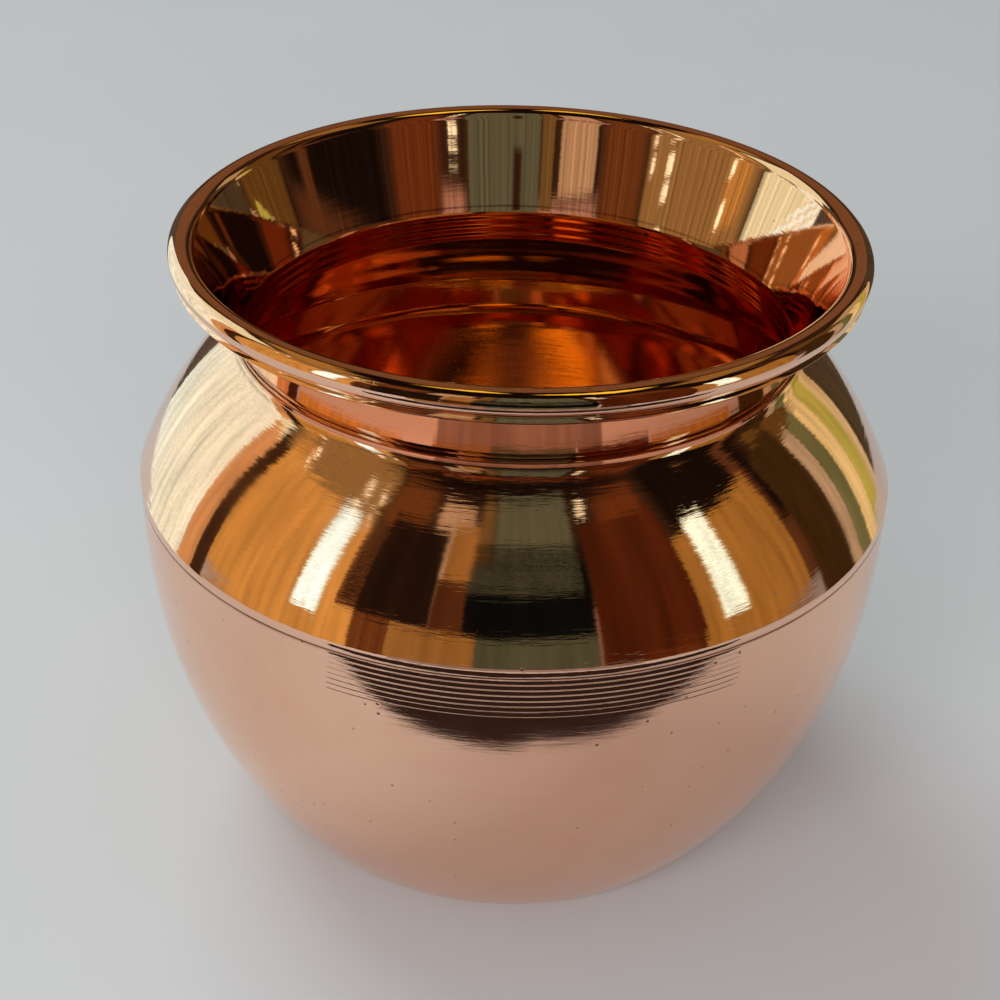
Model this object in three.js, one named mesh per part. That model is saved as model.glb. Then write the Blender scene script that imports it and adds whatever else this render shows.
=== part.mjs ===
// Copper kalash (water pot): a spun bowl, a coned shoulder and a flared neck, lapped and brazed together,
// with a wired rim. Millimetres, +Z up, origin on the floor under the middle of the pot.
import * as THREE from 'three';

// Sheet and clearances
const sheet = 0.8;
const fitGap = 0.3;

// Lower bowl
const bodyRadius = 64;
const ridgeHeight = 66.5;
const heelRadius = 42.5;
const heelFlat = 2.6;
const heelRise = 2.4;
const bellyPower = 2.5;
const kickRadius = 34;
const kickRamp = 3;
const kickHeight = 1.2;
const grooveCount = 7;
const groovePitch = 1.0;
const grooveDepth = 0.22;
const grooveStart = 0.6;

// Shoulder
const seamDrop = 1.0;
const ridgeRound = 3.2;
const shoulderRise = 25.9;
const shoulderBulge = 1.6;
const skirtDepth = 2.6;
const lipHeight = 1.8;
const lipFillet = 1.6;

// Neck, mouth and rim
const neckRadius = 46.1;
const neckTail = 6.5;
const throatDrop = 1.3;
const mouthRise = 16.2;
const mouthFlare = 10.75;
const mouthLean = THREE.MathUtils.degToRad(28);
const flareRun = 8;
const beadRadius = 2.1;
const curlStart = THREE.MathUtils.degToRad(167);
const curlEnd = THREE.MathUtils.degToRad(-60);
const hemClear = 0.1;
const hemTurn = THREE.MathUtils.degToRad(105);
const hemLength = 0.7;

// Braze fillets
const brazeLeg = 1.5;

// Fineness of the turned shapes
const turnSegments = 48;
const bellySteps = 9;
const curveSteps = 6;
const cornerSteps = 4;
const curlSteps = 9;
const hemSteps = 4;
const wireSides = 8;

// Heights and radii that follow from the sizes above
const ridgeSeam = ridgeHeight - seamDrop;
const skirtBottom = ridgeSeam - skirtDepth;
const lipTop = ridgeHeight + shoulderRise;
const lipRoot = lipTop - lipHeight;
const neckBottom = lipTop - neckTail;
const beadHeight = lipTop + mouthRise - beadRadius;
const beadCentreRadius = neckRadius + mouthFlare - beadRadius;
const wireRadius = beadRadius - sheet - fitGap;

const point = (radius, height) => new THREE.Vector2(radius, height);

// Outer radius of the bowl at a height: a long fuller curve that stands upright at the ridge.
function bellyRadius(height) {
  const drop = Math.max(0, (ridgeSeam - height) / ridgeSeam);
  return bodyRadius - (bodyRadius - heelRadius) * drop ** bellyPower;
}

// Inner radius of the bowl's wall at a height, one sheet in along the slope.
function bellyInside(height) {
  const slope = bellyRadius(height + 0.5) - bellyRadius(height - 0.5);
  return bellyRadius(height) - sheet * Math.hypot(1, slope);
}

// Moves a path sideways by a distance, to the left of its direction where the distance is positive.
function offsetPath(path, distance) {
  return path.map((here, i) => {
    const before = path[Math.max(i - 1, 0)];
    const after = path[Math.min(i + 1, path.length - 1)];
    const arriving = here.clone().sub(i > 0 ? before : after).multiplyScalar(i > 0 ? 1 : -1).normalize();
    const leaving = after.clone().sub(here).normalize();
    const onward = leaving.lengthSq() > 0 ? leaving : arriving;
    const normal = point(-arriving.y - onward.y, arriving.x + onward.x).normalize();
    const mitre = normal.dot(point(-onward.y, onward.x));
    return here.clone().addScaledVector(normal, distance / mitre);
  });
}

function arcPoints(centre, radius, from, to, steps) {
  return Array.from({ length: steps + 1 }, (_, i) => {
    const angle = THREE.MathUtils.lerp(from, to, i / steps);
    return point(centre.x + radius * Math.cos(angle), centre.y + radius * Math.sin(angle));
  });
}

function curvePoints(start, control, end, steps) {
  return new THREE.QuadraticBezierCurve(start, control, end).getPoints(steps);
}

// Point a given distance from `from` on the way to `to`.
function along(from, to, distance) {
  return from.clone().addScaledVector(to.clone().sub(from).normalize(), distance);
}

// Radius of a rising path at a height.
function radiusAt(path, height) {
  const next = path.findIndex((spot, i) => i > 0 && spot.y >= height && path[i - 1].y < height);
  const share = (height - path[next - 1].y) / (path[next].y - path[next - 1].y);
  return THREE.MathUtils.lerp(path[next - 1].x, path[next].x, share);
}

// Turns a section about +Z. A section off the axis is closed on itself first.
function turned(name, section, material) {
  const onAxis = section[0].x < 1e-9;
  const profile = onAxis ? section : [...section, section[0].clone()];
  const geometry = new THREE.LatheGeometry(profile, turnSegments);
  geometry.rotateX(Math.PI / 2);
  const mesh = new THREE.Mesh(geometry, material);
  mesh.name = name;
  return mesh;
}

function copper(roughness) {
  return new THREE.MeshStandardMaterial({ color: 0xd9906f, metalness: 1, roughness });
}

function braze() {
  return new THREE.MeshStandardMaterial({ color: 0xc8a35c, metalness: 1, roughness: 0.4 });
}

// Bowl from the middle of its raised base, round the heel and up to the seam under the ridge.
function lowerBowl() {
  const base = [
    point(0, kickHeight),
    point(kickRadius - kickRamp, kickHeight),
    point(kickRadius, 0),
  ];
  const heelTop = point(bellyRadius(heelRise), heelRise);
  const heel = curvePoints(point(heelRadius - heelFlat, 0), point(heelRadius, 0), heelTop, cornerSteps);
  const grooveBottom = ridgeSeam - grooveStart - grooveCount * groovePitch;
  const wallStep = (i) => THREE.MathUtils.lerp(heelRise, grooveBottom, i / bellySteps);
  const wall = Array.from({ length: bellySteps }, (_, i) => wallStep(i + 1));
  const smooth = [...base, ...heel, ...wall.map((height) => point(bellyRadius(height), height))];

  const grooves = Array.from({ length: grooveCount }, (_, i) => {
    const crest = grooveBottom + (i + 1) * groovePitch;
    const valley = crest - groovePitch / 2;
    return [point(bellyRadius(valley) - grooveDepth, valley), point(bellyRadius(crest), crest)];
  }).flat();
  const edge = point(bellyRadius(ridgeSeam), ridgeSeam);
  const inside = offsetPath([...smooth, edge], sheet).reverse();
  return turned('lower_bowl', [...smooth, ...grooves, edge, ...inside], copper(0.32));
}

// Middle of the neck's wall: tube, trumpet mouth, edge curled out over the wire, hem turned out below it.
function neckPath() {
  const wall = neckRadius - sheet / 2;
  const centre = point(beadCentreRadius, beadHeight);
  const middle = beadRadius - sheet / 2;
  const curl = arcPoints(centre, middle, curlStart, curlEnd, curlSteps);
  const throat = point(wall, lipTop - throatDrop);
  const mouthDirection = point(Math.sin(mouthLean), Math.cos(mouthLean));
  const control = curl[0].clone().addScaledVector(mouthDirection, -flareRun);
  const flare = curvePoints(throat, control, curl[0], curveSteps).slice(0, -1);
  const hemRadius = sheet / 2 + hemClear;
  const outward = point(Math.cos(curlEnd), Math.sin(curlEnd));
  const hemCentre = centre.clone().addScaledVector(outward, middle + hemRadius);
  const hemStart = curlEnd + Math.PI;
  const hemEnd = hemStart + hemTurn;
  const hem = arcPoints(hemCentre, hemRadius, hemStart, hemEnd, hemSteps).slice(1);
  const tipDirection = point(-Math.sin(hemEnd), Math.cos(hemEnd));
  const tip = hem.at(-1).clone().addScaledVector(tipDirection, hemLength);
  return [point(wall, neckBottom), ...flare, ...curl, ...hem, tip];
}

// Middle of the shoulder's wall: joggled skirt inside the bowl, ridge, bulged cone, lip round the neck.
function shoulderPath() {
  const inset = sheet / 2 + fitGap;
  const edgeHeight = ridgeSeam + inset;
  const ridge = point(bodyRadius - sheet / 2, ridgeHeight + sheet / 2);
  const root = point(neckRadius + inset, lipRoot);
  const chord = root.clone().sub(ridge);
  const bulge = point(chord.y, -chord.x).normalize().multiplyScalar(2 * shoulderBulge);
  const control = ridge.clone().add(root).multiplyScalar(0.5).add(bulge);
  const cone = new THREE.QuadraticBezierCurve(ridge, control, root);
  const coneFrom = ridgeRound / chord.length();
  const coneTo = 1 - lipFillet / chord.length();
  const conePoints = Array.from({ length: curveSteps + 2 }, (_, i) =>
    cone.getPoint(THREE.MathUtils.lerp(coneFrom, coneTo, i / (curveSteps + 1))));
  const ridgeTurn = along(ridge, conePoints[0], ridgeRound / 4);
  const lipStart = point(root.x, lipRoot + lipFillet / 3);
  const neckOutside = offsetPath(neckPath(), -sheet / 2);
  return [
    point(bellyInside(skirtBottom) - inset, skirtBottom),
    point(bellyInside(ridgeSeam - sheet) - inset, edgeHeight),
    point(ridge.x, edgeHeight),
    ...curvePoints(ridge, ridgeTurn, conePoints[0], cornerSteps),
    ...conePoints.slice(1, -1),
    ...curvePoints(conePoints.at(-1), root, lipStart, cornerSteps),
    point(radiusAt(neckOutside, lipTop) + inset, lipTop),
  ];
}

// A strip of sheet whose middle follows a path that runs up the outside.
function sheetSection(path) {
  return [...offsetPath(path, -sheet / 2), ...offsetPath(path, sheet / 2).reverse()];
}

function shoulderShell() {
  return turned('shoulder_shell', sheetSection(shoulderPath()), copper(0.12));
}

function neckCollar() {
  return turned('neck_collar', sheetSection(neckPath()), copper(0.12));
}

function rimWire() {
  const centre = point(beadCentreRadius, beadHeight);
  const section = arcPoints(centre, wireRadius, 0, 2 * Math.PI, wireSides).slice(0, -1);
  return turned('rim_wire', section, copper(0.4));
}

// Braze run inside the bowl, under the shoulder's skirt.
function bellyBraze() {
  const top = skirtBottom - fitGap;
  const bottom = top - brazeLeg;
  const section = [
    point(bellyInside(bottom) - fitGap, bottom),
    point(bellyInside(top) - fitGap, top),
    point(bellyInside(top) - fitGap - brazeLeg, top),
  ];
  return turned('belly_braze', section, braze());
}

// Braze run in the corner between the neck tube and the underside of the shoulder.
function neckBraze() {
  const underside = offsetPath(shoulderPath(), sheet / 2 + fitGap);
  const wall = neckRadius + fitGap;
  const top = lipRoot - lipFillet;
  const bottom = top - brazeLeg;
  const section = [
    point(wall, bottom),
    point(radiusAt(underside, bottom), bottom),
    point(radiusAt(underside, top), top),
    point(wall, top),
  ];
  return turned('neck_braze', section, braze());
}

const kalash = new THREE.Group();
kalash.add(lowerBowl(), shoulderShell(), neckCollar(), rimWire(), bellyBraze(), neckBraze());

export default kalash;
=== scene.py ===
import math

import bmesh
import bpy
from mathutils import Matrix, Vector, noise


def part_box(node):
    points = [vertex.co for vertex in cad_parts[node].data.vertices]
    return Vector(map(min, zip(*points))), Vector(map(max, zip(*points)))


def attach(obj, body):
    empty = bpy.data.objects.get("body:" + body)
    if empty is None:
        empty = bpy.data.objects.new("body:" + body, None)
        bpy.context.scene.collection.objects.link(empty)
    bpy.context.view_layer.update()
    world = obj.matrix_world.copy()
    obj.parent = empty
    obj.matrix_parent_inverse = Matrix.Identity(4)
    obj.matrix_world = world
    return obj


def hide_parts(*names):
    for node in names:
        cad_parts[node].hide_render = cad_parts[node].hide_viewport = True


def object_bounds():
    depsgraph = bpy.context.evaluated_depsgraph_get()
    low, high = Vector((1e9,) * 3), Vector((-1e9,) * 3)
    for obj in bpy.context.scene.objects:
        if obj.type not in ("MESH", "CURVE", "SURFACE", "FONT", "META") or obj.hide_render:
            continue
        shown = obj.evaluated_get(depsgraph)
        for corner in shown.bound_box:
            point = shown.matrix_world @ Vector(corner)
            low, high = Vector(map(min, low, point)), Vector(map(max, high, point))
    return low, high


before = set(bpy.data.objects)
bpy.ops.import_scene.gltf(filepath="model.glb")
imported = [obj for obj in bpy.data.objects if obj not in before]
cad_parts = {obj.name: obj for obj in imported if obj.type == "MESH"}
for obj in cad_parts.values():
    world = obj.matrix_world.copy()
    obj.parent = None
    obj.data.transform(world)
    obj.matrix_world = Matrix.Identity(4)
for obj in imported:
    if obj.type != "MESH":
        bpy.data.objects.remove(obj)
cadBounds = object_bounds()
print("frame loaded:", ", ".join(sorted(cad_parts)))

mm = 0.001
floorHeight = cadBounds[0][2]


# Outlines: a point is (radius, height), and a path runs up the outside of its wall

def offsetPath(path, distance):
    moved = []
    for i, here in enumerate(path):
        arriving = (here - path[i - 1]).normalized() if i > 0 else None
        leaving = (path[i + 1] - here).normalized() if i < len(path) - 1 else arriving
        arriving = arriving or leaving
        normal = Vector((-arriving.y - leaving.y, arriving.x + leaving.x)).normalized()
        mitre = normal.dot(Vector((-leaving.y, leaving.x)))
        moved.append(here + normal * (distance / mitre))
    return moved


def arcPoints(centre, radius, start, end, steps):
    angles = [start + (end - start) * i / steps for i in range(steps + 1)]
    return [centre + radius * Vector((math.cos(a), math.sin(a))) for a in angles]


def curvePoints(start, control, end, steps):
    shares = [i / steps for i in range(steps + 1)]
    return [start * (1 - t) ** 2 + control * 2 * t * (1 - t) + end * t ** 2 for t in shares]


def radiusAt(path, height):
    below, above = next((a, b) for a, b in zip(path, path[1:]) if a.y < height <= b.y)
    return below.x + (above.x - below.x) * (height - below.y) / (above.y - below.y)


def sheetSection(path, thickness):
    return offsetPath(path, -thickness / 2) + offsetPath(path, thickness / 2)[::-1]


# Turning, shading and handing over a piece

turning = {"steps": 256, "edgeRound": 0.1 * mm, "edgeAngle": 60, "smoothAngle": 38}


def spunPiece(name, section, closed=True, shape=None):
    bm = bmesh.new()
    outline = [bm.verts.new((p.x, 0, p.y)) for p in section]
    edges = [bm.edges.new(pair) for pair in zip(outline, outline[1:])]
    if closed:
        edges.append(bm.edges.new((outline[-1], outline[0])))
    bmesh.ops.spin(bm, geom=outline + edges, cent=(0, 0, 0), axis=(0, 0, 1),
                   angle=2 * math.pi, steps=turning["steps"], use_merge=True)
    bmesh.ops.remove_doubles(bm, verts=bm.verts, dist=0.002 * mm)
    bmesh.ops.recalc_face_normals(bm, faces=bm.faces)
    limit = math.radians(turning["edgeAngle"])
    corners = [e for e in bm.edges if e.is_manifold and e.calc_face_angle() > limit]
    if corners:
        bmesh.ops.bevel(bm, geom=corners, offset=turning["edgeRound"], segments=2,
                        affect="EDGES", profile=0.5, material=-1, clamp_overlap=True)
    if shape:
        shape(bm)
    mesh = bpy.data.meshes.new(name)
    bm.to_mesh(mesh)
    bm.free()
    mesh.shade_smooth()
    mesh.set_sharp_from_angle(angle=math.radians(turning["smoothAngle"]))
    piece = bpy.data.objects.new(name, mesh)
    bpy.context.scene.collection.objects.link(piece)
    return piece


def handOver(piece, node):
    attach(piece, "root")
    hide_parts(node)
    print("made", piece.name, len(piece.data.polygons), "faces")


def giveInside(piece, outside, inside, isInside):
    piece.data.materials.append(outside)
    piece.data.materials.append(inside)
    for face in piece.data.polygons:
        if isInside(face):
            face.material_index = 1


def facesAxis(face):
    return face.normal.x * face.center.x + face.normal.y * face.center.y < 0


# Shader building

def addNode(tree, kind, inputs=None, **settings):
    node = tree.nodes.new(kind)
    for key, value in settings.items():
        setattr(node, key, value)
    for key, value in (inputs or {}).items():
        if isinstance(value, bpy.types.NodeSocket):
            tree.links.new(value, node.inputs[key])
        else:
            node.inputs[key].default_value = value
    return node


def mathNode(tree, operation, first, second=0.0):
    return addNode(tree, "ShaderNodeMath", {0: first, 1: second}, operation=operation).outputs[0]


def mixColour(tree, factor, first, second):
    node = addNode(tree, "ShaderNodeMix", {0: factor, 6: first, 7: second}, data_type="RGBA")
    return node.outputs[2]


def makeGroup(name, inputs, outputs):
    group = bpy.data.node_groups.new(name, "ShaderNodeTree")
    for label, value in inputs.items():
        socket = group.interface.new_socket(label, in_out="INPUT", socket_type="NodeSocketFloat")
        socket.default_value = value
    for label in outputs:
        group.interface.new_socket(label, in_out="OUTPUT", socket_type="NodeSocketFloat")
    entry = group.nodes.new("NodeGroupInput")
    leave = group.nodes.new("NodeGroupOutput")
    return group, entry.outputs, leave.inputs


def mapRange(tree, value, start, end, low=0.0, high=1.0, blend="LINEAR"):
    inputs = {"Value": value, "From Min": start, "From Max": end, "To Min": low, "To Max": high}
    return addNode(tree, "ShaderNodeMapRange", inputs, interpolation_type=blend).outputs[0]


def objectPlace(tree):
    return addNode(tree, "ShaderNodeTexCoord").outputs["Object"]


def splitAxes(tree, vector):
    return addNode(tree, "ShaderNodeSeparateXYZ", {0: vector}).outputs


def joinAxes(tree, x, y, z=0.0):
    return addNode(tree, "ShaderNodeCombineXYZ", {"X": x, "Y": y, "Z": z}).outputs[0]


def makeTurningLines():
    inputs = {"Per Metre": 3000.0, "Along Height": 1.0, "Along Radius": 0.0, "Break Up": 30.0}
    group, given, result = makeGroup("turning lines", inputs, ["Height"])
    parts = splitAxes(group, objectPlace(group))
    across = joinAxes(group, parts["X"], parts["Y"])
    radius = addNode(group, "ShaderNodeVectorMath", {0: across}, operation="LENGTH").outputs["Value"]
    climb = mathNode(group, "MULTIPLY", parts["Z"], given["Along Height"])
    reach = mathNode(group, "MULTIPLY", radius, given["Along Radius"])
    line = mathNode(group, "MULTIPLY", mathNode(group, "ADD", climb, reach), given["Per Metre"])
    spreadX = mathNode(group, "MULTIPLY", parts["X"], given["Break Up"])
    spreadY = mathNode(group, "MULTIPLY", parts["Y"], given["Break Up"])
    stretched = joinAxes(group, line, spreadX, spreadY)
    fine = addNode(group, "ShaderNodeTexNoise", {"Vector": stretched, "Scale": 1.0, "Detail": 4.0,
                                                 "Roughness": 0.62})
    group.links.new(fine.outputs["Fac"], result["Height"])
    return group


def makeHandWork():
    group, given, result = makeGroup("hand work", {"Per Metre": 50.0, "Flatten": 0.5}, ["Height"])
    parts = splitAxes(group, objectPlace(group))
    up = mathNode(group, "MULTIPLY", parts["Z"], given["Flatten"])
    squeezed = joinAxes(group, parts["X"], parts["Y"], up)
    soft = addNode(group, "ShaderNodeTexNoise", {"Vector": squeezed, "Scale": given["Per Metre"],
                                                 "Detail": 1.5, "Roughness": 0.4})
    group.links.new(soft.outputs["Fac"], result["Height"])
    return group


def makeStains():
    inputs = {"Per Metre": 60.0, "From": 0.45, "To": 0.7}
    group, given, result = makeGroup("stains", inputs, ["Mask"])
    place = objectPlace(group)
    cloud = addNode(group, "ShaderNodeTexNoise", {"Vector": place, "Scale": given["Per Metre"],
                                                  "Detail": 5.0, "Roughness": 0.6, "Distortion": 0.4})
    mask = mapRange(group, cloud.outputs["Fac"], given["From"], given["To"], blend="SMOOTHSTEP")
    group.links.new(mask, result["Mask"])
    return group


def makePits():
    inputs = {"Per Metre": 420.0, "Size": 0.1, "Share": 0.12}
    group, given, result = makeGroup("pits", inputs, ["Mask"])
    cells = addNode(group, "ShaderNodeTexVoronoi", {"Vector": objectPlace(group),
                                                    "Scale": given["Per Metre"], "Randomness": 1.0})
    chance = addNode(group, "ShaderNodeSeparateColor", {0: cells.outputs["Color"]}).outputs[0]
    chosen = mathNode(group, "LESS_THAN", chance, given["Share"])
    spot = mapRange(group, cells.outputs["Distance"], given["Size"], 0.0, blend="SMOOTHSTEP")
    group.links.new(mathNode(group, "MULTIPLY", spot, chosen), result["Mask"])
    return group


def makeGrimeLine():
    inputs = {"Height": 0.0, "Half Width": 0.001}
    group, given, result = makeGroup("grime line", inputs, ["Mask"])
    place = objectPlace(group)
    parts = splitAxes(group, place)
    away = mathNode(group, "ABSOLUTE", mathNode(group, "SUBTRACT", parts["Z"], given["Height"]))
    near = mapRange(group, away, given["Half Width"], 0.0, blend="SMOOTHSTEP")
    patchy = addNode(group, "ShaderNodeTexNoise", {"Vector": place, "Scale": 90.0, "Detail": 3.0})
    group.links.new(mathNode(group, "MULTIPLY", near, patchy.outputs["Fac"]), result["Mask"])
    return group


groups = {"lines": makeTurningLines(), "handWork": makeHandWork(), "stains": makeStains(),
          "pits": makePits(), "grime": makeGrimeLine()}


def useGroup(tree, name, **inputs):
    node = addNode(tree, "ShaderNodeGroup", node_tree=groups[name])
    for label, value in inputs.items():
        node.inputs[label].default_value = value
    return node.outputs[0]


def metalMaterial(name, finish):
    material = bpy.data.materials.new(name)
    material.use_nodes = True
    tree = material.node_tree
    shader = tree.nodes["Principled BSDF"]
    shader.inputs["Metallic"].default_value = 1.0
    material.diffuse_color = (*finish["colour"], 1)

    stain = useGroup(tree, "stains", **finish["stains"])
    pit = useGroup(tree, "pits", **finish["pits"])
    stainShare = mathNode(tree, "MULTIPLY", stain, finish["stainShare"])
    colour = mixColour(tree, stainShare, (*finish["colour"], 1), (*finish["stainColour"], 1))
    for height, halfWidth, strength in finish["grimeLines"]:
        grime = useGroup(tree, "grime", **{"Height": height, "Half Width": halfWidth})
        share = mathNode(tree, "MULTIPLY", grime, strength)
        colour = mixColour(tree, share, colour, (*finish["grimeColour"], 1))
    colour = mixColour(tree, mathNode(tree, "MULTIPLY", pit, finish["pitShade"]), colour,
                       (*finish["grimeColour"], 1))
    tree.links.new(colour, shader.inputs["Base Color"])

    low, high = finish["roughness"]
    worn = mathNode(tree, "ADD", stain, pit)
    rough = mapRange(tree, worn, 0.0, 1.0, low, high)
    tree.links.new(rough, shader.inputs["Roughness"])

    wobble = addNode(tree, "ShaderNodeBump", {"Height": useGroup(tree, "handWork", **finish["handWork"]),
                                              "Distance": finish["wobble"]})
    ripples = addNode(tree, "ShaderNodeBump", {"Height": useGroup(tree, "lines", **finish["ripples"]),
                                               "Distance": finish["rippleDepth"],
                                               "Normal": wobble.outputs[0]})
    lines = addNode(tree, "ShaderNodeBump", {"Height": useGroup(tree, "lines", **finish["lines"]),
                                             "Distance": finish["lineDepth"],
                                             "Normal": ripples.outputs[0]})
    pitted = addNode(tree, "ShaderNodeBump", {"Height": mathNode(tree, "SUBTRACT", 1.0, pit),
                                              "Distance": finish["pitDepth"], "Normal": lines.outputs[0]})
    tree.links.new(pitted.outputs[0], shader.inputs["Normal"])
    return material


# Sizes of the pot. Its outer limits are read from the frame

bowlLow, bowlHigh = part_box("lower_bowl")
shoulderLow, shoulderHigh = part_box("shoulder_shell")
neckLow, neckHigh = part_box("neck_collar")
wireLow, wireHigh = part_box("rim_wire")
bodyRadius = bowlHigh.x
seamHeight = bowlHigh.z
sheet = 0.8 * mm
curveSteps = {"kick": 6, "heel": 8, "curl": 30, "flare": 44, "throat": 6, "hem": 12, "tail": 24, "cone": 60,
              "corner": 10, "blend": 12, "wire": 20, "braze": 10, "sag": 12}

bowl = {
    "heelRadius": 42.5 * mm, "heelFlat": 2.6 * mm, "heelRise": 2.4 * mm, "bellyPower": 2.5,
    "kickRadius": 34 * mm, "kickRamp": 3 * mm, "kickHeight": 1.2 * mm, "kickRound": 0.3 * mm,
    "grooves": 7, "groovePitch": 1.0 * mm, "grooveDepth": 0.03 * mm, "grooveFade": 0.08,
    "grooveStart": 0.6 * mm, "wallStep": 0.8 * mm,
    "grooveShape": {0.34: 0.0, 0.37: 0.0, 0.42: 0.4, 0.46: 0.85, 0.5: 1.0, 0.54: 0.85, 0.58: 0.4, 0.63: 0.0,
                    0.66: 0.0, 1.0: 0.0},
}
shoulder = {
    "edgeGap": 0.16 * mm, "ridgeRise": 1.0 * mm, "ridgeRound": 3.2 * mm, "bulge": 1.6 * mm,
    "lipHeight": 1.8 * mm, "lipFillet": 1.6 * mm, "lipGap": 0.12 * mm, "skirtGap": 0.3 * mm,
    "rise": 25.9 * mm, "blendRise": 4 * mm, "ribPitch": 4.6 * mm, "ribHeight": 0.05 * mm,
    "ribsFrom": 5 * mm, "ribsStop": 2 * mm,
}
neck = {
    "radius": 46.1 * mm, "throatDrop": 1.3 * mm, "throatRound": 0.5 * mm, "beadRadius": 2.1 * mm,
    "mouthLean": math.radians(28), "flareRun": 8 * mm, "flareLead": 0.2 * mm, "leastStep": 0.1 * mm,
    "curlStart": math.radians(167), "curlEnd": math.radians(-60),
    "hemTurn": math.radians(105), "hemClear": 0.1 * mm, "hemLength": 0.7 * mm,
    "ribs": 3, "ribHeight": 0.06 * mm, "ribsFrom": 0.3 * mm,
}
braze = {"leg": 1.5 * mm, "down": 1.4 * mm, "across": 1.08 * mm, "touch": 0.03 * mm, "gap": 0.3 * mm,
         "hollow": 0.55, "ripple": 0.05 * mm, "perMetre": 240}
lipTop = seamHeight + shoulder["ridgeRise"] + shoulder["rise"]


def bellyRadius(height):
    drop = max(0.0, (seamHeight - height) / seamHeight)
    return bodyRadius - (bodyRadius - bowl["heelRadius"]) * drop ** bowl["bellyPower"]


def bellyInside(height):
    slope = (bellyRadius(height + 0.5 * mm) - bellyRadius(height - 0.5 * mm)) / mm
    return bellyRadius(height) - sheet * math.hypot(1, slope)


def heelAndBase():
    flat, kick = bowl["heelRadius"] - bowl["heelFlat"], bowl["kickRadius"]
    raised = Vector((kick - bowl["kickRamp"], bowl["kickHeight"]))
    footEdge = Vector((kick, 0))
    ramp = curvePoints(raised, (raised + footEdge) / 2 + Vector((bowl["kickRound"], 0)), footEdge,
                       curveSteps["kick"])
    heelTop = Vector((bellyRadius(bowl["heelRise"]), bowl["heelRise"]))
    heel = curvePoints(Vector((flat, 0)), Vector((bowl["heelRadius"], 0)), heelTop,
                       curveSteps["heel"])
    return [Vector((0, bowl["kickHeight"])), *ramp, *heel]


def makeBowl():
    grooveBottom = seamHeight - bowl["grooveStart"] - bowl["grooves"] * bowl["groovePitch"]
    count = round((grooveBottom - bowl["heelRise"]) / bowl["wallStep"])
    heights = [bowl["heelRise"] + (grooveBottom - bowl["heelRise"]) * (i + 1) / count for i in range(count)]
    smooth = heelAndBase() + [Vector((bellyRadius(z), z)) for z in heights]
    grooved = []
    for i in range(bowl["grooves"]):
        fade = 1 - bowl["grooveFade"] * (bowl["grooves"] - 1 - i)
        for share, hollow in bowl["grooveShape"].items():
            height = grooveBottom + (i + share) * bowl["groovePitch"]
            grooved.append(Vector((bellyRadius(height) - hollow * fade * bowl["grooveDepth"], height)))
    edge = Vector((bellyRadius(seamHeight), seamHeight))
    inside = offsetPath(smooth + [edge], sheet)[::-1]
    return spunPiece("bowl", smooth + grooved + [edge] + inside, closed=False)


def neckPath():
    wall = neck["radius"] - sheet / 2
    bead = Vector((neckHigh.x - neck["beadRadius"], neckHigh.z - neck["beadRadius"]))
    middle = neck["beadRadius"] - sheet / 2
    curl = arcPoints(bead, middle, neck["curlStart"], neck["curlEnd"], curveSteps["curl"])
    throat = Vector((wall, lipTop - neck["throatDrop"]))
    mouthDirection = Vector((math.sin(neck["mouthLean"]), math.cos(neck["mouthLean"])))
    control = curl[0] - mouthDirection * neck["flareRun"]
    flare = curvePoints(throat, control, curl[0], curveSteps["flare"])[:-1]
    soft = neck["throatRound"]
    tailTop = throat - Vector((0, soft))
    onFlare = flare[1] + (flare[1] - throat).normalized() * neck["flareLead"]
    turn = curvePoints(tailTop, throat, onFlare, curveSteps["throat"])
    hemRadius = sheet / 2 + neck["hemClear"]
    outward = Vector((math.cos(neck["curlEnd"]), math.sin(neck["curlEnd"])))
    hemStart = neck["curlEnd"] + math.pi
    hemEnd = hemStart + neck["hemTurn"]
    hemCentre = bead + outward * (middle + hemRadius)
    hem = arcPoints(hemCentre, hemRadius, hemStart, hemEnd, curveSteps["hem"])[1:]
    tip = hem[-1] + Vector((-math.sin(hemEnd), math.cos(hemEnd))) * neck["hemLength"]
    start = Vector((wall, neckLow.z))
    tail = [start + (tailTop - start) * i / curveSteps["tail"] for i in range(curveSteps["tail"])]
    rest = [p for p in flare if p.y > turn[-1].y + neck["leastStep"]]
    return tail + turn + rest + curl + hem + [tip]


def makeNeck():
    path = neckPath()
    outside = offsetPath(path, -sheet / 2)
    inside = offsetPath(path, sheet / 2)
    start, end = neckLow.z, lipTop - neck["throatDrop"] - neck["throatRound"]
    for point in inside:
        if start + neck["ribsFrom"] < point.y < end and point.x < neck["radius"]:
            share = (point.y - start) / (end - start)
            point.x += neck["ribHeight"] * math.sin(math.pi * neck["ribs"] * share) ** 2
    return spunPiece("neck", outside + inside[::-1])


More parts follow.
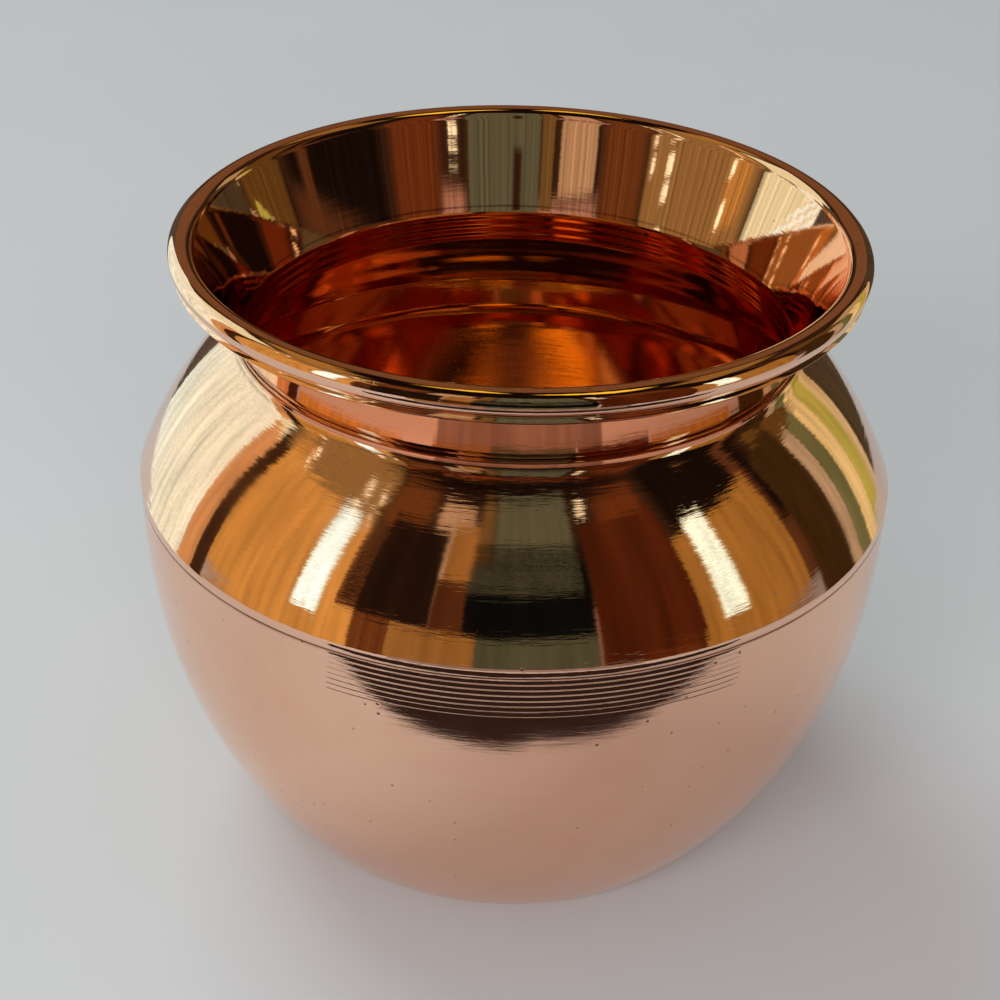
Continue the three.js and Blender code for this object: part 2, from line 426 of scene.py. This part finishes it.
def shoulderPath():
    ridge = Vector((bodyRadius - sheet / 2, seamHeight + shoulder["ridgeRise"] + sheet / 2))
    lipRoot = lipTop - shoulder["lipHeight"]
    root = Vector((neck["radius"] + shoulder["lipGap"] + sheet / 2, lipRoot))
    chord = root - ridge
    bulge = Vector((chord.y, -chord.x)).normalized() * 2 * shoulder["bulge"]
    control = (ridge + root) / 2 + bulge
    first, last = shoulder["ridgeRound"] / chord.length, 1 - shoulder["lipFillet"] / chord.length
    steps = curveSteps["cone"]
    whole = [first + (last - first) * i / steps for i in range(steps + 1)]
    cone = [ridge * (1 - t) ** 2 + control * 2 * t * (1 - t) + root * t ** 2 for t in whole]
    ridgeTurn = ridge + (cone[0] - ridge).normalized() * shoulder["ridgeRound"] / 4
    neckOutside = offsetPath(neckPath(), -sheet / 2)
    lipReach = shoulder["lipGap"] + sheet / 2
    lipEnd = Vector((radiusAt(neckOutside, lipTop) + lipReach, lipTop))
    lipStart = Vector((root.x, lipRoot + shoulder["lipFillet"] / 3))
    edgeHeight = seamHeight + shoulder["edgeGap"] + sheet / 2
    reach = sheet / 2 + shoulder["skirtGap"]
    skirt = [Vector((bellyInside(shoulderLow.z) - reach, shoulderLow.z)),
             Vector((bellyInside(seamHeight - sheet) - reach, edgeHeight)),
             Vector((ridge.x, edgeHeight))]
    return (skirt + curvePoints(ridge, ridgeTurn, cone[0], curveSteps["corner"]) + cone[1:-1]
            + curvePoints(cone[-1], root, lipStart, curveSteps["corner"]) + [lipEnd])


def makeShoulder():
    path = shoulderPath()
    inside = offsetPath(path, sheet / 2)
    coneStart = next(i for i, point in enumerate(inside) if point.y > seamHeight + shoulder["blendRise"])
    corner = Vector((inside[1].x, seamHeight + shoulder["blendRise"] / 3))
    middle = inside[0] + (inside[1] - inside[0]) / 2
    blend = curvePoints(middle, corner, inside[coneStart], curveSteps["blend"])
    inside = [inside[0]] + blend + inside[coneStart + 1:]
    top = lipTop - shoulder["lipHeight"] - shoulder["ribsStop"]
    bottom = seamHeight + shoulder["ribsFrom"]
    for point in inside:
        if bottom < point.y < top:
            share = (top - point.y) / shoulder["ribPitch"]
            point.x += shoulder["ribHeight"] * math.sin(math.pi * share) ** 2
    return spunPiece("shoulder", offsetPath(path, -sheet / 2) + inside[::-1])


def makeWire():
    radius = (wireHigh.z - wireLow.z) / 2
    centre = Vector((wireHigh.x - radius, wireHigh.z - radius))
    return spunPiece("rimWire", arcPoints(centre, radius, 0, 2 * math.pi, curveSteps["wire"])[:-1])


def brazeSection(corner, down, across):
    hollow = corner + (down - corner) * (1 - braze["hollow"]) + (across - corner) * (1 - braze["hollow"])
    return [corner] + curvePoints(across, (hollow + corner) / 2, down, curveSteps["braze"])


def flowedPiece(name, section):
    top = max(p.y for p in section)

    def ripple(bm):
        for vert in bm.verts:
            below = min(1.0, max(0.0, (top - vert.co.z) / braze["leg"]))
            vert.co.z += abs(noise.noise(vert.co * braze["perMetre"])) * braze["ripple"] * below

    return spunPiece(name, section, shape=ripple)


def makeBellyBraze():
    top = shoulderLow.z - braze["touch"]
    wall = bellyInside(top) - braze["touch"]
    low = top - braze["down"]
    down = Vector((bellyInside(low) - braze["touch"], low))
    across = Vector((wall - braze["across"], top))
    return flowedPiece("bellyBraze", brazeSection(Vector((wall, top)), down, across))


def makeNeckBraze():
    low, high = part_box("neck_braze")
    underside = offsetPath(shoulderPath(), sheet / 2 + braze["gap"])
    wall = neck["radius"] + braze["gap"]
    top = [Vector((wall, high.z)), Vector((radiusAt(underside, high.z), high.z))]
    outer = Vector((radiusAt(underside, low.z), low.z))
    inner = Vector((wall, low.z))
    sag = (outer + inner) / 2 + Vector((0, braze["leg"] * braze["hollow"]))
    return flowedPiece("neckBraze", top + curvePoints(outer, sag, inner, curveSteps["sag"]))


# Finishes. Colours are linear; lengths are in metres

copper = (0.93, 0.56, 0.39)
grimeColour = (0.12, 0.05, 0.03)
seamLine = (seamHeight, 0.5 * mm, 1.0)

polished = {
    "colour": copper, "stainColour": (0.86, 0.46, 0.30), "stainShare": 0.35, "grimeColour": grimeColour,
    "stains": {"Per Metre": 45.0, "From": 0.45, "To": 0.75},
    "pits": {"Per Metre": 500.0, "Size": 0.16, "Share": 0.03}, "pitDepth": 0.03 * mm, "pitShade": 0.8,
    "grimeLines": [seamLine, (lipTop, 0.35 * mm, 0.9), (lipTop - shoulder["lipHeight"], 0.4 * mm, 0.6)],
    "roughness": (0.045, 0.10), "handWork": {"Per Metre": 42.0, "Flatten": 0.6}, "wobble": 0.10 * mm,
    "ripples": {"Per Metre": 620.0, "Along Height": 1.0, "Along Radius": -0.6, "Break Up": 60.0},
    "rippleDepth": 0.034 * mm,
    "lines": {"Per Metre": 2600.0, "Along Height": 1.0, "Along Radius": -0.6, "Break Up": 90.0},
    "lineDepth": 0.004 * mm,
}
flarePolish = {**polished, "rippleDepth": 0.014 * mm, "lineDepth": 0.003 * mm, "roughness": (0.04, 0.09)}
softPolished = {
    **polished, "stainShare": 0.6, "roughness": (0.045, 0.14), "lineDepth": 0.007 * mm,
    "stains": {"Per Metre": 30.0, "From": 0.4, "To": 0.8},
    "pits": {"Per Metre": 520.0, "Size": 0.20, "Share": 0.09}, "wobble": 0.14 * mm,
    "grimeLines": [seamLine], "ripples": {"Per Metre": 700.0, "Along Height": 1.0, "Along Radius": 0.0,
                                          "Break Up": 70.0},
    "rippleDepth": 0.020 * mm,
    "lines": {"Per Metre": 2200.0, "Along Height": 1.0, "Along Radius": 0.0, "Break Up": 80.0},
}
insideCopper = {
    **polished, "colour": (0.92, 0.54, 0.34), "stainColour": (0.80, 0.40, 0.20), "stainShare": 0.5,
    "stains": {"Per Metre": 35.0, "From": 0.35, "To": 0.75}, "roughness": (0.035, 0.09),
    "pits": {"Per Metre": 260.0, "Size": 0.2, "Share": 0.05}, "grimeLines": [], "lineDepth": 0.004 * mm,
    "rippleDepth": 0.010 * mm, "wobble": 0.05 * mm,
}
wireCopper = {**insideCopper, "roughness": (0.25, 0.4), "lineDepth": 0.005 * mm}
brazeMetal = {
    **insideCopper, "colour": (0.84, 0.50, 0.26), "stainColour": (0.55, 0.27, 0.11),
    "roughness": (0.10, 0.28), "wobble": 0.08 * mm, "handWork": {"Per Metre": 200.0, "Flatten": 1.0},
}

materials = {
    "polished": metalMaterial("polished copper", polished),
    "flare": metalMaterial("flare copper", flarePolish),
    "soft": metalMaterial("soft polished copper", softPolished),
    "inside": metalMaterial("inside copper", insideCopper),
    "wire": metalMaterial("wire copper", wireCopper),
    "braze": metalMaterial("braze metal", brazeMetal),
}
print("materials made")

bowlPiece = makeBowl()
giveInside(bowlPiece, materials["soft"], materials["inside"],
           lambda face: facesAxis(face) or (face.normal.z > 0.5 and face.center.z < seamHeight / 2))
handOver(bowlPiece, "lower_bowl")

shoulderPiece = makeShoulder()
giveInside(shoulderPiece, materials["polished"], materials["inside"], facesAxis)
handOver(shoulderPiece, "shoulder_shell")

throatHeight = lipTop - neck["throatDrop"]
neckPiece = makeNeck()
giveInside(neckPiece, materials["flare"], materials["inside"],
           lambda face: face.center.z < throatHeight and facesAxis(face))
handOver(neckPiece, "neck_collar")

wirePiece = makeWire()
wirePiece.data.materials.append(materials["wire"])
handOver(wirePiece, "rim_wire")

for makeBraze, node in ((makeBellyBraze, "belly_braze"), (makeNeckBraze, "neck_braze")):
    brazePiece = makeBraze()
    brazePiece.data.materials.append(materials["braze"])
    handOver(brazePiece, node)


# Stage: a plain floor, soft lights and the surroundings that only the metal reflects.
# Azimuth is in degrees from the camera's side of the pot, positive to its right

floorFinish = {"size": 8, "colours": ((0.57, 0.59, 0.60), (0.63, 0.63, 0.64)), "roughness": 0.4,
               "shine": 0.12}

# from azimuth, to azimuth, from elevation, to elevation, colour, soft edge in degrees
farRoom = {
    "gold wall": (-99, -50, -10, 54, (0.32, 0.21, 0.075), 2),
    "bright gold": (-95, -84, 12, 40, (0.58, 0.33, 0.085), 2),
    "brown left": (-51, -31, -10, 56, (0.16, 0.06, 0.018), 4),
    "pink low left": (-33, -5, 6, 24, (0.46, 0.27, 0.20), 3),
    "pale sheet": (-30, -15, 23, 53, (0.52, 0.39, 0.24), 0.7),
    "gold edge": (-13, -7, 16, 56, (0.18, 0.12, 0.04), 1),
    "panel": (-7, 23, -10, 57, (0.115, 0.140, 0.090), 0.7),
    "panel mark": (0, 5, 16, 31, (0.035, 0.016, 0.007), 1.5),
    "pink low right": (23, 36, 8, 25, (0.42, 0.24, 0.17), 3),
    "brown right": (33, 56, -5, 55, (0.15, 0.045, 0.013), 4),
    "dark right": (57, 99, 14, 56, (0.010, 0.006, 0.004), 3),
    "low right": (57, 100, -5, 16, (0.10, 0.042, 0.018), 3),
    "brown stripe": (88, 94, 0, 50, (0.12, 0.05, 0.020), 2),
    "olive": (101, 121, 2, 42, (0.13, 0.075, 0.018), 1.5),
    "cream": (121, 137, 4, 28, (0.50, 0.42, 0.20), 1),
    "window": (-138, -99, 6, 44, (0.95, 1.10, 0.80), 1.5),
    "orange low": (-160, -102, -12, 8, (0.48, 0.33, 0.20), 4),
    "ceiling left": (-166, -110, 73, 88, (1.15, 0.90, 0.07), 3),
    "ceiling right": (58, 114, 68, 88, (1.25, 0.95, 0.08), 3),
    "glow left": (-138, -74, 46, 64, (0.42, 0.26, 0.06), 4),
    "glow right": (74, 140, 46, 64, (0.32, 0.19, 0.05), 4),
    "back": (145, 215, 12, 74, (0.20, 0.10, 0.045), 6),
}
farWall = {"below": (0.055, 0.028, 0.014), "above": (0.008, 0.004, 0.003), "edge": 54, "soft": 4.0,
           "shade": (0.01, 0.006, 0.004), "shadeShare": 0.8, "shadePerDegree": 0.35}
lampRows = {"left": (-60, 1.6, 10, 50), "right": (29, 2.0, 26, 54), "corner": (-86, 1.2, 12, 42),
            "middle": (-53, 1.0, 24, 50)}
lampGlow = {"colour": (1.5, 1.6, 1.2), "perDegree": 0.30, "dark": 0.47, "lit": 0.55, "soft": 0.6}
wallStreaks = {"perDegree": 0.9, "least": 0.55, "most": 1.3}

# radius, from azimuth, to azimuth, bottom, top (mm), colour, how many dashes
nearBands = {
    "block": (120, -10, 18.5, 89, 129, (0.004, 0.005, 0.005)),
    "blockStreaks": (119.5, -10, 17, 113, 129, (0.070, 0.085, 0.055), 5),
    "blockTop": (120, -10, 18.5, 129, 145, (0.006, 0.007, 0.006), 6),
    "lowPanel": (119, -7, 18.5, 76, 89, (0.080, 0.100, 0.062)),
    "lowPink": (119.5, -24, 27, 50, 76, (0.30, 0.25, 0.24)),
    "lowGold": (119, -25, -7, 76, 89, (0.30, 0.17, 0.045)),
    "darkBody": (118, -33, -17, 89, 150, (0.018, 0.010, 0.006)),
    "bodyFringe": (118, -37, -33, 92, 142, (0.020, 0.010, 0.006), 11),
    "bodyEdge": (119, -38, -33, 89, 142, (0.16, 0.07, 0.026)),
    "brownMiddle": (120, -17, -10, 89, 117, (0.080, 0.030, 0.011)),
    "goldMiddle": (120, -16, -9, 117, 158, (0.31, 0.17, 0.045)),
    "redBrown": (120, 19, 42, 76, 158, (0.078, 0.020, 0.006)),
    "goldLeft": (205, -82, -38, 66, 205, (0.66, 0.395, 0.100)),
    "stripLeft": (200, -54, -47.5, 96, 203, (1.3, 2.3, 2.9), 15),
    "stripLeftGlow": (201, -54.5, -47, 94, 205, (0.95, 1.25, 1.10)),
    "stripRight": (200, 53.5, 60, 92, 196, (1.25, 2.1, 2.3), 15),
    "stripRightGlow": (201, 53, 60.5, 90, 198, (0.90, 1.05, 0.75)),
    "goldRight": (205, 47, 80, 66, 188, (0.37, 0.21, 0.046)),
    "frameLeft": (300, -91, -86, 0, 260, (0.05, 0.025, 0.012)),
    "orangeLeft": (301, -97.5, -91, 0, 250, (0.70, 0.42, 0.18)),
    "windowLeft": (300, -139, -97.5, 0, 262, (1.0, 1.42, 1.46), 26),
    "windowLeftBack": (301, -139, -97.5, 0, 262, (0.90, 0.92, 0.62)),
    "greyLeft": (301, -152, -139, 0, 200, (0.10, 0.08, 0.06)),
    "brownRight": (300, 88, 102, 0, 240, (0.045, 0.026, 0.008)),
    "creamRight": (300, 102, 107, 0, 190, (0.50, 0.44, 0.30)),
    "greenRight": (300, 107, 113, 0, 182, (0.16, 0.19, 0.08)),
    "paleRight": (300, 113, 119, 0, 170, (0.76, 0.70, 0.34)),
    "yellowRight": (300, 119, 125, 0, 160, (0.44, 0.47, 0.10)),
    "creamFar": (300, 125, 129, 0, 140, (0.60, 0.52, 0.28)),
    "darkRight": (301, 129, 150, 0, 200, (0.07, 0.055, 0.03)),
}
# a dark card just above the floor, outlined from above in mm
darkFloor = {
    "edge": [(-150, -158), (-122, -128), (-104, -113), (-60, -111), (0, -110), (14, -114), (45, -107),
             (75, -102), (122, -88), (160, -100), (184, -112), (152, -152), (108, -184), (56, -205),
             (0, -212), (-56, -205), (-108, -186)],
    "lift": 0.5, "reach": 400, "colour": (0.030, 0.020, 0.019),
}
# a band is clear to rays longer than its radius plus this (mm), so the mouth sees past it
bandReach = 33
dashFilled = 0.62
bandStreaks = {"scale": 130.0, "stretch": 0.08, "least": 0.72, "most": 1.22}
softLights = {
    "key": {"azimuth": -142, "elevation": 46, "distance": 2.6, "size": 1.9,
            "power": 33, "colour": (0.80, 0.99, 1)},
    "fill": {"azimuth": -75, "elevation": 50, "distance": 0.9, "size": 0.9,
             "power": 0.5, "colour": (0.9, 0.98, 1)},
    "low": {"azimuth": -32, "elevation": 24, "distance": 1.6, "size": 0.8,
            "power": 10, "colour": (1, 0.95, 0.95)},
    "front": {"azimuth": 4, "elevation": 26, "distance": 1.5, "size": 1.0,
              "power": 9, "colour": (1, 0.94, 0.92)},
}
openAir = {"light": (0.355, 0.325, 0.325), "seen": (0.56, 0.58, 0.59)}
cameraView = {"elevation": 30.54, "dip": 1.5, "turn": -0.46, "roll": 1.5,
              "distance": 0.3325, "focal": 1.915, "sensor": 36}


def linkedStage(name, bm, glowColour=None, reach=0.0):
    mesh = bpy.data.meshes.new(name)
    bm.to_mesh(mesh)
    bm.free()
    obj = bpy.data.objects.new(name, mesh)
    bpy.context.scene.collection.objects.link(obj)
    if glowColour:
        material = bpy.data.materials.new(name + " glow")
        material.use_nodes = True
        tree = material.node_tree
        tree.nodes.remove(tree.nodes["Principled BSDF"])
        stretch = (1, 1, bandStreaks["stretch"])
        upright = addNode(tree, "ShaderNodeVectorMath", {0: objectPlace(tree), 1: stretch},
                          operation="MULTIPLY")
        cloud = addNode(tree, "ShaderNodeTexNoise", {"Vector": upright.outputs[0],
                                                     "Scale": bandStreaks["scale"], "Detail": 3.0})
        strength = mapRange(tree, cloud.outputs["Fac"], 0.3, 0.7, bandStreaks["least"], bandStreaks["most"])
        glow = addNode(tree, "ShaderNodeEmission", {"Color": (*glowColour, 1), "Strength": strength})
        length = addNode(tree, "ShaderNodeLightPath").outputs["Ray Length"]
        beyond = mathNode(tree, "GREATER_THAN", length, reach * mm)
        clear = addNode(tree, "ShaderNodeBsdfTransparent")
        blend = addNode(tree, "ShaderNodeMixShader", {0: beyond, 1: glow.outputs[0], 2: clear.outputs[0]})
        tree.links.new(blend.outputs[0], tree.nodes["Material Output"].inputs["Surface"])
        material.cycles.emission_sampling = "NONE"
        mesh.materials.append(material)
        obj.visible_camera = False
        obj.visible_diffuse = False
        obj.visible_shadow = False
    return obj


def makeFloor():
    bm = bmesh.new()
    bmesh.ops.create_grid(bm, x_segments=1, y_segments=1, size=floorFinish["size"] / 2)
    bmesh.ops.translate(bm, vec=(0, 0, floorHeight), verts=bm.verts)
    floor = linkedStage("floor", bm)
    material = bpy.data.materials.new("pale floor")
    material.use_nodes = True
    tree = material.node_tree
    shader = tree.nodes["Principled BSDF"]
    cloud = addNode(tree, "ShaderNodeTexNoise", {"Vector": objectPlace(tree), "Scale": 9.0, "Detail": 6.0})
    cool, warm = floorFinish["colours"]
    colour = mixColour(tree, cloud.outputs["Fac"], (*cool, 1), (*warm, 1))
    tree.links.new(colour, shader.inputs["Base Color"])
    shader.inputs["Roughness"].default_value = floorFinish["roughness"]
    shader.inputs["Specular IOR Level"].default_value = floorFinish["shine"]
    floor.data.materials.append(material)


def makeDarkFloor():
    bm = bmesh.new()
    height = floorHeight + darkFloor["lift"] * mm
    bm.faces.new([bm.verts.new((x * mm, y * mm, height)) for x, y in darkFloor["edge"]])
    linkedStage("darkFloor", bm, darkFloor["colour"], darkFloor["reach"])


def makeBand(name, radius, start, end, bottom, top, colour, dashes=1):
    bm = bmesh.new()
    turn = math.radians(start) - math.pi / 2
    pitch = (top - bottom) * mm / dashes
    filled = 1 if dashes == 1 else dashFilled
    geom = []
    for i in range(dashes):
        height = floorHeight + bottom * mm + i * pitch
        foot = Vector((radius * mm * math.cos(turn), radius * mm * math.sin(turn), height))
        ends = [bm.verts.new(foot), bm.verts.new(foot + Vector((0, 0, pitch * filled)))]
        geom += ends + [bm.edges.new(ends)]
    steps = max(2, round((end - start) / 3))
    bmesh.ops.spin(bm, geom=geom, cent=(0, 0, 0), axis=(0, 0, 1),
                   angle=math.radians(end - start), steps=steps)
    linkedStage(name, bm, colour, radius + bandReach)


def aroundPot(azimuth, elevation, distance):
    turn, rise = math.radians(azimuth), math.radians(elevation)
    away = Vector((math.sin(turn) * math.cos(rise), -math.cos(turn) * math.cos(rise), math.sin(rise)))
    return away * distance + Vector((0, 0, seamHeight))


def makeLight(name, azimuth, elevation, distance, size, power, colour):
    data = bpy.data.lights.new(name, "AREA")
    data.shape = "DISK"
    data.size = size
    data.energy = power
    data.color = colour
    light = bpy.data.objects.new(name, data)
    bpy.context.scene.collection.objects.link(light)
    place = aroundPot(azimuth, elevation, distance)
    turned = (place - Vector((0, 0, seamHeight))).to_track_quat("Z", "Y").to_matrix().to_4x4()
    light.matrix_world = Matrix.Translation(place) @ turned
    light.visible_camera = False
    light.visible_glossy = False


def makeWindowMask():
    labels = ("Azimuth", "Elevation", "Middle", "Half Width", "Height", "Half Height", "Soft")
    group, given, result = makeGroup("direction window", dict.fromkeys(labels, 0.0), ["Mask"])
    turn = mathNode(group, "SUBTRACT", given["Azimuth"], given["Middle"])
    wrapped = addNode(group, "ShaderNodeMath", {0: turn, 1: 180.0, 2: -180.0}, operation="WRAP").outputs[0]
    climb = mathNode(group, "SUBTRACT", given["Elevation"], given["Height"])
    masks = []
    for offset, half in ((wrapped, given["Half Width"]), (climb, given["Half Height"])):
        away = mathNode(group, "ABSOLUTE", offset)
        inner = mathNode(group, "SUBTRACT", half, given["Soft"])
        masks.append(mapRange(group, away, inner, half, 1.0, 0.0))
    group.links.new(mathNode(group, "MULTIPLY", *masks), result["Mask"])
    return group


def makeWorld():
    world = bpy.data.worlds.new("studio air")
    world.use_nodes = True
    tree = world.node_tree
    background = tree.nodes["Background"]
    direction = addNode(tree, "ShaderNodeTexCoord").outputs["Generated"]
    parts = splitAxes(tree, direction)
    towardCamera = mathNode(tree, "MULTIPLY", parts["Y"], -1.0)
    turn = mathNode(tree, "ARCTAN2", parts["X"], towardCamera)
    azimuth = mathNode(tree, "MULTIPLY", turn, math.degrees(1))
    elevation = mathNode(tree, "MULTIPLY", mathNode(tree, "ARCSINE", parts["Z"]), math.degrees(1))
    windowMask = makeWindowMask()

    def maskOf(start, end, low, high, soft):
        node = addNode(tree, "ShaderNodeGroup", node_tree=windowMask)
        tree.links.new(azimuth, node.inputs["Azimuth"])
        tree.links.new(elevation, node.inputs["Elevation"])
        window = {"Middle": (start + end) / 2, "Half Width": (end - start) / 2,
                  "Height": (low + high) / 2, "Half Height": (high - low) / 2, "Soft": soft}
        for label, value in window.items():
            node.inputs[label].default_value = value
        return node.outputs[0]

    edge, soft = farWall["edge"], farWall["soft"]
    upward = mapRange(tree, elevation, edge - soft, edge + soft)
    room = mixColour(tree, upward, (*farWall["below"], 1), (*farWall["above"], 1))
    streaks = addNode(tree, "ShaderNodeTexNoise", {"W": azimuth, "Scale": farWall["shadePerDegree"],
                                                   "Detail": 2.0}, noise_dimensions="1D").outputs["Fac"]
    shaded = mathNode(tree, "MULTIPLY", streaks, farWall["shadeShare"])
    room = mixColour(tree, shaded, room, (*farWall["shade"], 1))
    for start, end, low, high, colour, soft in farRoom.values():
        room = mixColour(tree, maskOf(start, end, low, high, soft), room, (*colour, 1))
    spots = addNode(tree, "ShaderNodeTexNoise", {"W": elevation, "Scale": lampGlow["perDegree"],
                                                 "Detail": 0.0}, noise_dimensions="1D").outputs["Fac"]
    lit = mapRange(tree, spots, lampGlow["dark"], lampGlow["lit"])
    for middle, half, low, high in lampRows.values():
        spot = maskOf(middle - half, middle + half, low, high, lampGlow["soft"])
        room = mixColour(tree, mathNode(tree, "MULTIPLY", spot, lit), room, (*lampGlow["colour"], 1))

    fine = addNode(tree, "ShaderNodeTexNoise", {"W": azimuth, "Scale": wallStreaks["perDegree"],
                                                "Detail": 3.0}, noise_dimensions="1D").outputs["Fac"]
    shade = mapRange(tree, fine, 0.3, 0.7, wallStreaks["least"], wallStreaks["most"])
    room = addNode(tree, "ShaderNodeVectorMath", {0: room, "Scale": shade}, operation="SCALE").outputs[0]

    path = addNode(tree, "ShaderNodeLightPath").outputs
    air = mixColour(tree, path["Is Camera Ray"], (*openAir["light"], 1), (*openAir["seen"], 1))
    tree.links.new(mixColour(tree, path["Is Glossy Ray"], air, room), background.inputs["Color"])
    world.cycles.sampling_method = "NONE"
    bpy.context.scene.world = world


def makeCamera():
    angles = (cameraView[label] for label in ("elevation", "dip", "turn", "roll"))
    elevation, dip, turn, roll = (math.radians(angle) for angle in angles)
    target = Vector((0, 0, seamHeight + shoulder["ridgeRise"]))
    place = target + cameraView["distance"] * Vector((0, -math.cos(elevation), math.sin(elevation)))
    pitch = elevation + dip
    forward = Vector((math.sin(turn) * math.cos(pitch), math.cos(turn) * math.cos(pitch), -math.sin(pitch)))
    level = Vector((math.cos(turn), -math.sin(turn), 0))
    right = math.cos(roll) * level + math.sin(roll) * level.cross(forward)
    up = right.cross(forward)
    data = bpy.data.cameras.new("camera")
    data.sensor_width = cameraView["sensor"]
    data.lens = cameraView["sensor"] * cameraView["focal"]
    data.clip_start = 0.01
    camera = bpy.data.objects.new("camera", data)
    bpy.context.scene.collection.objects.link(camera)
    axes = Matrix((right, up, -forward)).transposed()
    camera.matrix_world = Matrix.Translation(place) @ axes.to_4x4()
    bpy.context.scene.camera = camera


makeFloor()
makeDarkFloor()
for name, band in nearBands.items():
    makeBand(name, *band)
for name, light in softLights.items():
    makeLight(name, **light)
makeWorld()
makeCamera()
bpy.context.scene.view_settings.view_transform = "Standard"
bpy.context.scene.cycles.use_denoising = True
bpy.context.scene.cycles.max_bounces = 16
bpy.context.scene.cycles.glossy_bounces = 12
print("stage set")
